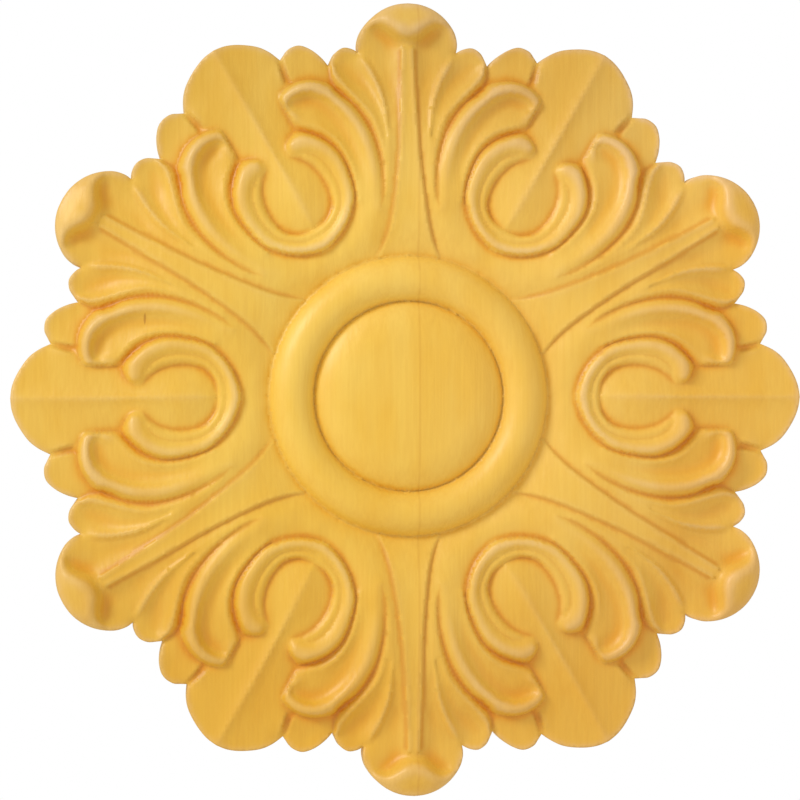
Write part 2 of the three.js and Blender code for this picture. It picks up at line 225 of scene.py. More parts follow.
def border_loop(faces: np.ndarray) -> list[int]:
    """Finds the border of an open surface.

    Args:
        faces: Triangles, one row each.

    Returns:
        Border points in the faces' own direction of travel.
    """
    pairs = np.vstack([faces[:, [0, 1]], faces[:, [1, 2]], faces[:, [2, 0]]])
    known = set(map(tuple, pairs.tolist()))
    following = {a: b for a, b in known if (b, a) not in known}
    start = next(iter(following))
    loop = [start]
    while following[loop[-1]] != start:
        loop.append(following[loop[-1]])
    return loop


@dataclass(frozen=True)
class Line:
    """One line of the carving on half a leaf and half a petal."""

    name: str
    edge: Edge
    marks: list[Mark]


@dataclass(frozen=True)
class Boss:
    """The dome at the centre and the ring round it, as a turned profile."""

    flat_radius: float = 56.0
    valley_radius: float = 95.0
    crest_radius: float = 117.0
    foot_radius: float = 140.0
    dome_top: float = 49.0
    dome_shoulder: float = 47.0
    valley_height: float = 31.0
    crest_height: float = 48.0
    foot_height: float = 30.0
    dome_flatness: float = 0.35
    ring_flatness: float = 0.4

    def bow(self, t: np.ndarray, flatness: float) -> np.ndarray:
        """A rounded fall from 1 at t = 0 to 0 at t = 1."""
        t = np.clip(t, 0.0, 1.0)
        return flatness * (1 - t * t) + (1 - flatness) * np.sqrt(1 - t * t)

    def height(self, r: np.ndarray) -> np.ndarray:
        """Height of the profile.

        Args:
            r: Distances from the centre.

        Returns:
            Heights above the back.
        """
        dome = self.dome_top - (self.dome_top - self.dome_shoulder) * (r / self.flat_radius) ** 2
        fall = (r - self.flat_radius) / (self.valley_radius - self.flat_radius)
        dome_rise = self.dome_shoulder - self.valley_height
        side = self.valley_height + dome_rise * self.bow(fall, self.dome_flatness)
        rise = (self.crest_radius - r) / (self.crest_radius - self.valley_radius)
        ring_rise = self.crest_height - self.valley_height
        inner = self.valley_height + ring_rise * self.bow(rise, self.ring_flatness)
        drop = (r - self.crest_radius) / (self.foot_radius - self.crest_radius)
        foot_rise = self.crest_height - self.foot_height
        outer = self.foot_height + foot_rise * self.bow(drop, self.ring_flatness)
        return np.select(
            [r <= self.flat_radius, r <= self.valley_radius, r <= self.crest_radius],
            [dome, side, inner],
            outer,
        )


def outline_runs() -> list[list[Mark]]:
    """Outline of half a leaf and half a petal.

    Returns:
        Its runs between the notches, from the leaf's tip to the petal's tip.
    """
    notch_tip = (348.5, 50.0, 19.0)
    notch_lobe = (333.5, 81.3, 18.5)
    notch_petal = petal(357.0, -54.6, 18.5)
    heights = [TIP_HEIGHT - TIP_DROP * (i / TIP_STEPS) ** 2 for i in range(TIP_STEPS + 1)]
    tip = arc(TIP_CENTRE, TIP_RADIUS, 0.0, TIP_SWEEP, heights)
    tip += [(356.5, 50.6, 22.5), notch_tip]
    side_lobe = [
        notch_tip,
        (351.8, 57, 21),
        (352.6, 66, 22),
        (347.5, 74, 21.5),
        (340, 78.3, 20.5),
        notch_lobe,
    ]
    back_lobe = [
        notch_lobe,
        (341.5, 89, 20.5),
        (349, 100, 21.5),
        (352.5, 112, 21.5),
        (348.5, 122.5, 21),
        (342, 127.5, 20),
        notch_petal,
    ]
    petal_edge = [
        notch_petal,
        petal(PETAL_TIP - 27.5, -48.5, 21),
        petal(PETAL_TIP - 17, -39.8, 21.5),
        petal(PETAL_TIP - 7, -25, 22),
        petal(PETAL_TIP - 1.6, -12, 22.5),
        petal(PETAL_TIP, 0, 24.5),
    ]
    return [tip, side_lobe, back_lobe, petal_edge]


def carved_lines(boss: Boss) -> list[Line]:
    """The lines of the carving: edges and grooves are sharp, crests and hollows round.

    Args:
        boss: The turned centre, whose foot is the first line.

    Returns:
        Every line on half a leaf and half a petal.
    """
    foot = arc(0.0, boss.foot_radius, 0.0, HALF, [boss.foot_height] * 7)
    sharp, soft = Edge.SHARP, Edge.ROUND
    return [
        Line("ring_foot", sharp, foot),
        Line("stem_groove", sharp, [
            (137, 32.5, 30), (153, 26, 33.3), (173, 20.3, 38.5), (200, 16.2, 41.6), (220, 14, 41.3),
            (240, 12, 40.2), (260, 11, 38.5), (280, 10.3, 35.9), (300, 9.7, 32.2), (320, 9, 28.2),
            (354, 7.6, 25.8),
        ]),
        Line("tip_rim", soft, [
            (366, 0, 36.5), (367.5, 8, 36.5), (372, 15, 36), (377.5, 22, 34.8), (381, 29, 32.6),
            (381, 35.5, 30.3), (377.5, 40.5, 27.5),
        ]),
        Line("tip_wall", soft, [
            (356, 0, 28), (357.5, 7, 26.4), (362.5, 14, 25.2), (368, 21, 25), (372.3, 28, 25.2),
            (373, 34, 24.8), (370, 38.5, 24.2), (362, 42, 23.3), (352, 43, 22),
        ]),
        Line("leaf_ridge", sharp, [
            (205, 22.3, 43.9), (225, 20.6, 43.4), (245, 20.6, 42.2), (262, 21.4, 40.8),
            (280, 22.8, 38.4), (300, 26, 34.9), (320, 33.3, 29.8), (335, 41.5, 26), (348.5, 50, 19),
        ]),
        Line("ridge_foot", sharp, [
            (262, 17.5, 40), (280, 19, 35.8), (300, 21.4, 31.2), (320, 27.6, 26), (335, 35, 22.8),
            (345, 41, 21.2),
        ]),
        Line("lobe_rim", sharp, [
            (200, 25, 44), (225, 23.8, 43.8), (256, 27.8, 41.5), (283, 37.3, 37.5), (303, 55, 32.3),
            (322, 73.5, 27.3), (332, 77, 24.8), (340, 78.3, 20.5),
        ]),
        Line("crease", sharp, [
            (186, 30, 43.8), (201, 27.2, 42.8), (215, 26.6, 42), (238, 29, 39.8), (263, 35.8, 36.3),
            (280, 44.3, 32.8), (294.5, 55.5, 29), (306.3, 70, 24.5), (311.6, 76, 23),
            (320, 79.8, 21.5), (333.5, 81.3, 18.5),
        ]),
        Line("lobe_foot", sharp, [
            (311.6, 76, 23), (315.5, 81, 22.5), (318.2, 90, 22.5), (319, 101, 22.8), (317, 112, 23),
            (312.3, 122, 23.8), (306, 129.5, 25), petal(326, -32.2, 26),
        ]),
        Line("end_foot", sharp, [
            petal(326, -32.2, 26), petal(316, -31.8, 26.3), petal(305, -31.4, 26.5),
            petal(296, -31.3, 27), (266, 116.5, 28),
        ]),
        Line("inner_rim", sharp, [
            (195, 51.5, 42.5), (216.8, 54.5, 42.3), (236.6, 60.8, 41), (255, 72.6, 38.8),
            (266.8, 88.4, 36), (271.4, 105, 33.5), (274.3, 119.5, 31.3),
        ]),
        Line("curl_groove", sharp, [
            petal(167, 0, 35), (157, 71, 35.8), (173, 61.2, 37), (191, 56, 38.5), (207, 56, 39),
            (230, 63.4, 37.5), (246, 72.6, 35.3), (257.6, 87.1, 32.5), (263.8, 103, 29.8),
            (266, 116.5, 28),
        ]),
        Line("curl_step", sharp, [
            petal(183, 0, 39.5), (169, 79, 39.7), (186, 70.6, 40), (200, 70.2, 40),
            (216.8, 75.9, 40), (232.6, 87.1, 39.5), (240.5, 99, 39), (242, 111, 38.5),
        ]),
        Line("root_groove", sharp, [
            petal(191.5, 0, 37), (176.8, 84.2, 35.3), (190, 79.3, 34.8), (204, 82, 35.3),
            (218.2, 89.7, 35.6), (230, 101.6, 35.5), (235.8, 114, 35.8), (237.5, 123.5, 36),
        ]),
        Line("curl_end", sharp, [
            (237.5, 123.5, 36), (243.5, 126.3, 35), (250, 126.8, 33.5), (256.5, 124.3, 31),
            (262, 120.3, 29), (266, 116.5, 28),
        ]),
        Line("petal_ridge", sharp, [
            petal(191.5, 0, 37), petal(200, 0, 40.4), petal(212, 0, 42.8), petal(228, 0, 43.8),
            petal(250, 0, 42.4), petal(275, 0, 38.5), petal(300, 0, 34.8), petal(340, 0, 30.4),
            petal(PETAL_TIP, 0, 24.5),
        ]),
        Line("petal_flank", soft, [
            petal(240, -7, 41.1), petal(255, -7, 38.9), petal(275, -7, 35.3), petal(300, -7, 31.7),
            petal(340, -7, 27.8), petal(PETAL_TIP - 13, -6, 24),
        ]),
        Line("petal_bulb", soft, [
            petal(199, -11, 37.6), petal(212, -14.5, 38.8), petal(228, -13.5, 39.9),
        ]),
        Line("petal_groove", sharp, [
            (335.6, 129.6, 18.8), (325, 126, 19.8), (314.5, 122.8, 21.3),
        ]),
        Line("groove_floor", sharp, [
            (335.6, 132.8, 18.8), (325, 130.4, 19.8), (315, 127.6, 21.3),
        ]),
        Line("petal_side", sharp, [
            (334.6, 135.3, 21), (325, 132.9, 23.9), (315, 130, 24.8),
        ]),
        Line("back_side", sharp, [
            (336.2, 127.2, 20.5), (325, 123.6, 22.8), (316, 120.6, 23.2),
        ]),
        Line("shoulder", soft, [(150, 45, 36.5), (143, 65, 37)]),
        Line("root", soft, [(160, 40, 39), (178, 40, 42), (195, 41, 43.5)]),
        Line("stem_edge", sharp, [
            (138, 30.3, 31.6), (153, 23.8, 36), (173, 18.1, 41.8), (200, 13.9, 44.9),
            (240, 9.5, 43.6), (280, 7.5, 39.3), (320, 6, 31.4), (354, 4.8, 29),
        ]),
        Line("stem_hollow", soft, [
            (139, 0, 31), (150, 0, 34.8), (170, 0, 40.3), (200, 0, 43.5), (240, 0, 42.5),
            (280, 0, 38.3), (320, 0, 30.3), (350, 0, 28.2),
        ]),
        Line("tip_floor", soft, [
            (275, 14.2, 37), (300, 15.3, 31), (320, 18.6, 25), (340, 24.2, 21.8), (352, 28, 21.2),
            (358, 29.5, 21.5),
        ]),
        Line("tip_cap", soft, [(377, 0, 38.5), (380, 11, 37.5), (384, 20, 35)]),
        Line("lobe_floor", soft, [
            (262, 22, 39.6), (283, 26, 36), (303, 33.2, 29.6), (322, 43.5, 23), (337, 54, 20),
            (343, 61, 19.6), (341, 68, 20), (333, 69.5, 20.2), (320, 60, 22.6), (303, 44.5, 29.2),
            (283, 31.5, 35.6), (266, 25.5, 38.8),
        ]),
        Line("lobe_crest", soft, [
            (190, 31, 44.3), (209, 35, 45), (230, 37.5, 45.3), (252.4, 44, 44.3), (272, 53.5, 42.2),
            (287, 65.5, 40.2), (298.5, 78, 38.8), (305.5, 90, 38), (307.5, 101, 37.5),
            (306, 112, 36.5), (302.3, 121, 35), (297.5, 127.3, 33.8), petal(320, -35.2, 32.8),
            petal(311, -35, 32), petal(302, -34.8, 31.6), (274.3, 119.5, 31.3),
        ]),
        Line("lobe_brow", soft, [
            (309, 83, 35.8), (313.3, 92, 34.6), (314.6, 102, 34), (312.8, 112, 33.2),
            (308.3, 121, 32.2), (302.8, 128, 31.2),
        ]),
        Line("lobe_wall", soft, [
            (209, 41, 44), (230, 43.5, 43), (252, 50.5, 40.6), (270, 59.5, 37.8), (283, 69.5, 35.2),
            (293.5, 81, 33.4), (300, 92, 32), (302.3, 102, 31.3), (301, 111, 30.8),
            (297.5, 118.5, 30.4), (293, 123.5, 30.2), (287.5, 122.6, 30),
        ]),
        Line("lobe_hollow", soft, [
            (215, 48, 42.2), (232, 52.5, 40), (250, 61, 36.8), (268, 74, 33.3), (280, 88, 30.8),
            (286, 101, 29.4), (286, 112, 29),
        ]),
        Line("curl_crest", soft, [
            petal(175, 0, 44), (162.4, 76.3, 44), (182, 65.3, 44.3), (200, 63.5, 44.5),
            (218, 67.5, 44.5), (237, 79.5, 44), (249, 96, 43.3), (252, 109, 42.5), (250, 119.5, 41),
        ]),
        Line("curl_shoulder", soft, [
            petal(170.2, 0, 42.2), (159.2, 73.1, 42.3), (174.6, 63.7, 42.8), (191.8, 59.1, 43.3),
            (205.8, 59.1, 43.4), (228, 66.6, 43.1), (242.6, 75.6, 42.3), (253, 88.7, 41.4),
            (258.9, 104.2, 40), (259.3, 112.5, 38.8), (256, 119.4, 38.2), (250.3, 123.4, 38.6),
        ]),
        Line("curl_bead", soft, [
            petal(187.5, 0, 40.3), (173, 81.6, 40.3), (190, 75, 40.3), (204, 76, 40.5),
            (218.2, 81.5, 40.5), (232.6, 93.7, 40), (238.5, 106, 39.3),
        ]),
        Line("petal_face", soft, [
            petal(300, -14, 30.2), petal(320, -16, 27.9), petal(345, -17, 25.4),
            petal(PETAL_TIP - 22, -15, 23.2),
        ]),
        Line("back_scoop", soft, [(331, 100, 20.3), (337, 105, 19.8), (344, 109.5, 20)]),
    ]


@dataclass
class Relief:
    """The carving's drawing: the turned centre, the lines and the outline."""

    boss: Boss
    lines: list[Line]
    outline: list[list[Mark]]


@dataclass(frozen=True)
class Hold:
    """What holds the sheet at a point: its height, whether it may fold there, and the varnish with
    painted groove shade.
    """

    height: float
    folds: bool
    varnish: float = 0.0


@dataclass
class Net:
    """Flat points of half a sector: its border first, then the points laid along the lines."""

    border: list[Place]
    leaf_axis_points: int
    edge_points: int
    holds: dict[int, Hold]
    wires: list[tuple[int, int]]
    laid: list[Place] = field(default_factory=list)

    def tree(self) -> kdtree.KDTree:
        """Makes a search tree of the net's points.

        Returns:
            The tree, ready for use.
        """
        tree = kdtree.KDTree(len(self.border) + len(self.laid))
        for i, (u, v) in enumerate(self.border + self.laid):
            tree.insert((u, v, 0.0), i)
        tree.balance()
        return tree

    def on_axis(self, index: int) -> bool:
        """Whether a point is one of those on the leaf's or the petal's axis."""
        past_edge = 1 + self.leaf_axis_points + self.edge_points
        return index <= self.leaf_axis_points or past_edge <= index < len(self.border)

    def clear(self, points: np.ndarray, margin: float) -> np.ndarray:
        """Which points lie inside the border, clear of its two axes.

        Args:
            points: Rows of two coordinates.
            margin: Least distance from either axis.

        Returns:
            True for each clear point.
        """
        u, v = points.T
        between = (v > margin) & (v * COS - u * SIN < -margin)
        return between & inside(points, np.array(self.border))

    def lay(self, place: Place, hold: Hold, previous: int | None) -> int:
        """Lays one more point of a line.

        Args:
            place: Where it lies.
            hold: What holds the sheet there.
            previous: The line's point before it, if there is one.

        Returns:
            The point's index.
        """
        index = len(self.border) + len(self.laid)
        self.laid.append(place)
        self.holds[index] = hold
        if previous is not None:
            self.wires.append((previous, index))
        return index


@dataclass(frozen=True)
class HalfSector:
    """Half a leaf and half a petal as triangles, with a height and the varnish with painted groove shade
    at each point.
    """

    flat: np.ndarray
    triangles: np.ndarray
    heights: np.ndarray
    varnish: np.ndarray


@dataclass(frozen=True)
class SpringySheet:
    """Fills in the surface between the lines as a thin springy sheet held down on them."""

    tension: float = 0.004
    most_steps: int = 900
    close_enough: float = 1e-5
    least_work: float = 1e-30

    def settle(
        self, points: np.ndarray, triangles: np.ndarray, held: np.ndarray, folded: np.ndarray
    ) -> np.ndarray:
        """Finds the sheet's height at every point.

        Args:
            points: Flat points.
            triangles: Triangles between them.
            held: Height at each held point, NaN where the sheet is free.
            folded: True where the sheet may fold, as along a sharp line.

        Returns:
            Heights of all points.
        """
        count = len(points)
        ends: list[np.ndarray] = []
        pulls: list[np.ndarray] = []
        area = np.zeros(count)
        for k in range(3):
            a, b, c = triangles[:, k], triangles[:, (k + 1) % 3], triangles[:, (k + 2) % 3]
            to_a, to_b = points[a] - points[c], points[b] - points[c]
            cross = np.abs(to_a[:, 0] * to_b[:, 1] - to_a[:, 1] * to_b[:, 0])
            pulls.append(0.5 * (to_a * to_b).sum(1) / np.maximum(cross, TINY))
            ends.append(np.column_stack([a, b]))
            area += np.bincount(a, cross / 6, minlength=count)
        i, j = np.vstack(ends).T
        pull = np.concatenate(pulls)

        def slope(h: np.ndarray) -> np.ndarray:
            """The sheet's curvature, summed over each point's cell."""
            flow = pull * (h[i] - h[j])
            return np.bincount(i, flow, minlength=count) - np.bincount(j, flow, minlength=count)

        stiff = np.where(folded, 0.0, 1.0 / np.maximum(area, TINY))
        free = np.isnan(held)

        def force(h: np.ndarray) -> np.ndarray:
            """The sheet's force at every free point."""
            bend = slope(h)
            return np.where(free, slope(stiff * bend) + self.tension * bend, 0.0)

        own = np.bincount(i, pull, minlength=count) + np.bincount(j, pull, minlength=count)
        weight = stiff * own**2 + self.tension * own
        weight += np.bincount(i, stiff[j] * pull**2, minlength=count)
        weight += np.bincount(j, stiff[i] * pull**2, minlength=count)
        weight = np.maximum(np.abs(weight), TINY)
        h = np.where(free, np.nanmean(held), held)
        rest = -force(h)
        ready = rest / weight
        move = ready.copy()
        level = float(rest @ ready)
        goal = level * self.close_enough**2
        for _ in range(self.most_steps):
            push = force(move)
            stride = level / max(float(move @ push), self.least_work)
            h = h + stride * move
            rest = rest - stride * push
            ready = rest / weight
            new_level = float(rest @ ready)
            if new_level < goal:
                break
            move = ready + (new_level / level) * move
            level = new_level
        return h


@dataclass
class RosetteMesh:
    """The fine mesh of the whole rosette, from one half sector mirrored and turned."""

    relief: Relief
    sheet: SpringySheet = field(default_factory=SpringySheet)

    # Steps between points, in parts, and the points on each axis
    grid_step: float = 2.45
    line_step: float = 2.2
    boss_step: float = 3.4
    boss_inset: float = 6.0
    axis_points: int = 150

    # Least distances, in parts or as shares of a step
    axis_margin: float = 0.6
    line_gap: float = 0.9
    snap_share: float = 0.75
    grid_margin_share: float = 0.4
    grid_gap_share: float = 0.55
    foot_margin: float = 0.3

    # The points over which the varnish and painted groove shade build up at a line's start and run out at
    # its end
    varnish_and_shade_start: int = 9
    varnish_and_shade_end: int = 4

    # The edge's easing in the wall, in parts
    eased_edge: float = 3.0

    # Turns of averaging, and the depth in parts that counts as full, for the painted shade and highlight
    # and for the varnish with painted groove shade
    crease_turns: int = 3
    crease_depth: float = 0.9
    hollow_turns: int = 40
    hollow_depth: float = 5.0
    softening_turns: int = 3
    varnish_and_shade_turns: int = 2
    varnish_and_shade_full: float = 0.45

    def border(self) -> Net:
        """Lays the border of half a sector: the leaf's axis, the outline and the petal's axis.

        Returns:
            A net of the border alone, held along the outline.
        """
        runs = [smooth(marks, self.line_step) for marks in self.relief.outline]
        edge = np.vstack([run if i == 0 else run[1:] for i, run in enumerate(runs)])
        leaf_axis = [(u, 0.0) for u in np.linspace(0.0, edge[0][0], self.axis_points)[1:-1]]
        petal_axis = [petal(w, 0.0, 0.0)[:2] for w in np.linspace(PETAL_TIP, 0.0, self.axis_points)[1:-1]]
        loop = [(0.0, 0.0), *leaf_axis, *[(u, v) for u, v, _ in edge], *petal_axis]
        border = [(float(u), float(v)) for u, v in loop]
        holds = {1 + len(leaf_axis) + i: Hold(float(row[2]), True) for i, row in enumerate(edge)}
        wires = [(i, (i + 1) % len(border)) for i in range(len(border))]
        return Net(border, len(leaf_axis), len(edge), holds, wires)

    def lay_line(self, net: Net, marks: list[Mark], folds: bool, varnish: float) -> None:
        """Lays a line on the net, without the points that would crowd those already there.

        Args:
            net: The net so far.
            marks: The line's marks.
            folds: Whether the sheet may fold along the line.
            varnish: How much varnish and painted groove shade darken it.
        """
        tree = net.tree()
        curve = smooth(marks, self.line_step)
        clear = net.clear(curve[:, :2], self.axis_margin)
        previous = None
        for count, ((u, v, height), is_clear) in enumerate(zip(curve, clear)):
            taper = min(1.0, (count + 1) / self.varnish_and_shade_start, (len(curve) - count) / self.varnish_and_shade_end)
            hold = Hold(float(height), folds, varnish * taper)
            _, near, gap = tree.find((u, v, 0.0))
            if net.on_axis(near) and gap < self.line_step * self.snap_share:
                net.holds.setdefault(near, hold)
                previous = near
            elif not is_clear or gap < self.line_gap:
                previous = near if gap < self.line_gap else None
            else:
                previous = net.lay((float(u), float(v)), hold, previous)

    def fill(self, net: Net) -> list[Place]:
        """Fills the room between the lines with rows of points, wider apart on the boss.

        Args:
            net: The net with every line laid.

        Returns:
            The new points.
        """
        tree = net.tree()
        boss_end = self.relief.boss.valley_radius - self.boss_inset
        places: list[Place] = []
        for step, low, high in ((self.boss_step, 0.0, boss_end), (self.grid_step, boss_end, FAR_ALONG)):
            for row in range(int(FAR_ACROSS / (step * ROW_SHARE))):
                along = np.arange((row % 2) * step / 2, FAR_ALONG, step)
                spots = np.column_stack([along, np.full(len(along), row * step * ROW_SHARE)])
                r = np.hypot(spots[:, 0], spots[:, 1])
                spots = spots[(r > low) & (r <= high)]
                if len(spots):
                    spots = spots[net.clear(spots, step * self.grid_margin_share)]
                for u, v in spots:
                    if tree.find((u, v, 0.0))[2] > step * self.grid_gap_share:
                        places.append((float(u), float(v)))
        return places

    def half_sector(self) -> HalfSector:
        """Triangulates half a leaf and half a petal and raises its relief.

        Returns:
            The half sector, raised.
        """
        boss = self.relief.boss
        net = self.border()
        for line in self.relief.lines:
            self.lay_line(net, line.marks, line.edge is Edge.SHARP, VARNISH_AND_GROOVE_SHADE.get(line.name, 0.0))
        for radius in (boss.valley_radius, boss.crest_radius, boss.flat_radius):
            self.lay_line(net, arc(0.0, radius, 0.0, HALF, [0.0] * 8), True, 0.0)
        cloud = [Vector(place) for place in net.border + net.laid + self.fill(net)]
        outer = list(range(len(net.border)))
        points, _, faces, sources, _, _ = delaunay_2d_cdt(
            cloud, net.wires, [outer], INNER_TRIANGLES, SAME_PLACE
        )
        flat = np.array([tuple(point) for point in points])
        triangles = np.array(faces, int)
        held = np.full(len(flat), np.nan)
        folded = np.zeros(len(flat), bool)
        varnish = np.zeros(len(flat))
        for i, origins in enumerate(sources):
            for hold in (net.holds[origin] for origin in origins if origin in net.holds):
                held[i], folded[i], varnish[i] = hold.height, hold.folds, hold.varnish
        r = np.hypot(flat[:, 0], flat[:, 1])
        turned = r <= boss.foot_radius + self.foot_margin
        held[turned] = boss.height(r[turned])
        folded |= turned
        return HalfSector(flat, triangles, self.sheet.settle(flat, triangles, held, folded), varnish)

    def whole_front(self, half: HalfSector) -> tuple[np.ndarray, np.ndarray, np.ndarray]:
        """Mirrors and turns the half sector into the whole front, which shares the axes' points.

        Args:
            half: The half sector.

        Returns:
            The points in metres, the triangles, and the varnish with painted groove shade at each point.
        """
        u, v = half.flat.T
        r, angle = np.hypot(u, v), np.arctan2(v, u)
        on_leaf = np.abs(v) < ON_AXIS
        on_petal = np.abs(v * COS - u * SIN) < ON_AXIS
        centre = r < ON_AXIS
        a, b, c = half.triangles.T
        area = (u[b] - u[a]) * (v[c] - v[a]) - (v[b] - v[a]) * (u[c] - u[a])
        places: list[np.ndarray] = []
        varnish: list[np.ndarray] = []
        faces: list[np.ndarray] = []
        shared: dict[tuple[int, str, int], int] = {}
        total = 0
        for sector in range(LEAVES):
            for side in (-1, 1):
                index = np.empty(len(u), int)
                fresh = []
                for i in range(len(u)):
                    key = None
                    if centre[i]:
                        key = (i, "centre", 0)
                    elif on_leaf[i]:
                        key = (i, "leaf", sector)
                    elif on_petal[i]:
                        key = (i, "petal", (sector + (1 if side > 0 else 0)) % LEAVES)
                    if key is not None and key in shared:
                        index[i] = shared[key]
                        continue
                    index[i] = total
                    fresh.append(i)
                    if key is not None:
                        shared[key] = total
                    total += 1
                turn = angle[fresh] * side + FIRST_LEAF + sector * 2 * HALF
                x, z = as_carved(r[fresh], turn)
                places.append(np.column_stack([x, -half.heights[fresh], z]) * UNIT)
                varnish.append(half.varnish[fresh])
                facing = (area * side > 0)[:, None]
                faces.append(index[np.where(facing, half.triangles, half.triangles[:, [0, 2, 1]])])
        return np.vstack(places), np.vstack(faces), np.concatenate(varnish)

    def build(self, name: str) -> bpy.types.Object:
        """Builds the closed mesh: the front, the wall with its eased edge, and the flat back.

        Args:
            name: Name of the new object.

        Returns:
            The object, in metres, in the solid's frame.
        """
        front, faces, varnish = self.whole_front(self.half_sector())
        loop = border_loop(faces)
        top = front[loop]
        eased = top.copy()
        eased[:, 1] = np.minimum(top[:, 1] + self.eased_edge * UNIT, 0.0)
        back = top.copy()
        back[:, 1] = 0.0
        first = len(front)
        count = len(loop)
        rings = [loop, list(range(first, first + count)), list(range(first + count, first + 2 * count))]
        polygons: list[tuple[int, ...]] = [tuple(face) for face in faces]
        for upper, lower in zip(rings, rings[1:]):
            for i in range(count):
                j = (i + 1) % count
                polygons.append((upper[i], lower[i], lower[j], upper[j]))
        polygons.append(tuple(reversed(rings[2])))
        mesh = bpy.data.meshes.new(name)
        mesh.from_pydata(np.vstack([front, eased, back]).tolist(), [], polygons)
        mesh.validate()
        mesh.polygons.foreach_set("use_smooth", [True] * len(mesh.polygons))
        back_edges = {frozenset((rings[2][i], rings[2][(i + 1) % count])) for i in range(count)}
        for edge in mesh.edges:
            if frozenset(edge.vertices) in back_edges:
                edge.use_edge_sharp = True
        mesh.update()
        # Varnish with painted groove shade along the cut lines, then the painted shade measures
        cut_varnish_and_shade = np.zeros(len(mesh.vertices))
        cut_varnish_and_shade[:first] = varnish
        self.mark_shade_and_varnish(mesh, cut_varnish_and_shade)
        piece = bpy.data.objects.new(name, mesh)
        bpy.context.scene.collection.objects.link(piece)
        return piece

    def mark_shade_and_varnish(self, mesh: bpy.types.Mesh, varnish: np.ndarray) -> None:
        """Stores how far each point lies below its surroundings, which drives painted shade in the cuts
        and painted highlights on the ridges, and the varnish and painted groove shade along the cut
        lines.

        Args:
            mesh: The finished mesh.
            varnish: Varnish with painted groove shade along the cut lines, one value for each point.
        """
        count = len(mesh.vertices)
        coordinates = np.empty(count * 3, np.float32)
        mesh.vertices.foreach_get("co", coordinates)
        places = coordinates.reshape(-1, 3).astype(float) / UNIT
        directions = np.empty(count * 3, np.float32)
        mesh.vertices.foreach_get("normal", directions)
        normals = directions.reshape(-1, 3)
        carved = places[:, 1] < 0.0  # the flat back takes no painted shade, highlight or varnish
        pairs = np.empty(len(mesh.edges) * 2, np.int32)
        mesh.edges.foreach_get("vertices", pairs)
        a, b = pairs.reshape(-1, 2).T
        neighbours = np.maximum(np.bincount(a, minlength=count) + np.bincount(b, minlength=count), 1)

        def spread(values: np.ndarray, turns: int) -> np.ndarray:
            """Averages values with their neighbours'.

            Args:
                values: One value for each point.
                turns: How many times.

            Returns:
                The averaged values.
            """
            for _ in range(turns):
                total = np.bincount(a, values[b], minlength=count)
                total = total + np.bincount(b, values[a], minlength=count)
                values = 0.5 * values + 0.5 * total / neighbours
            return values

        def sunk(turns: int) -> np.ndarray:
            """How far each point lies below its surroundings, square to the surface."""
            around = np.column_stack([spread(column, turns) for column in places.T])
            return ((around - places) * normals).sum(1)

        # crease and hollow drive the painted shade and highlight; varnish drives the varnish with painted
        # groove shade
        for title, values, full in (
            ("crease", spread(sunk(self.crease_turns), self.softening_turns), self.crease_depth),
            ("hollow", spread(sunk(self.hollow_turns), self.softening_turns), self.hollow_depth),
            ("varnish", spread(varnish, self.varnish_and_shade_turns), self.varnish_and_shade_full),
        ):
            attribute = mesh.attributes.new(title, "FLOAT", "POINT")
            share = np.clip(values / full * carved, -1.0, 1.0)
            attribute.data.foreach_set("value", share.astype(np.float32))


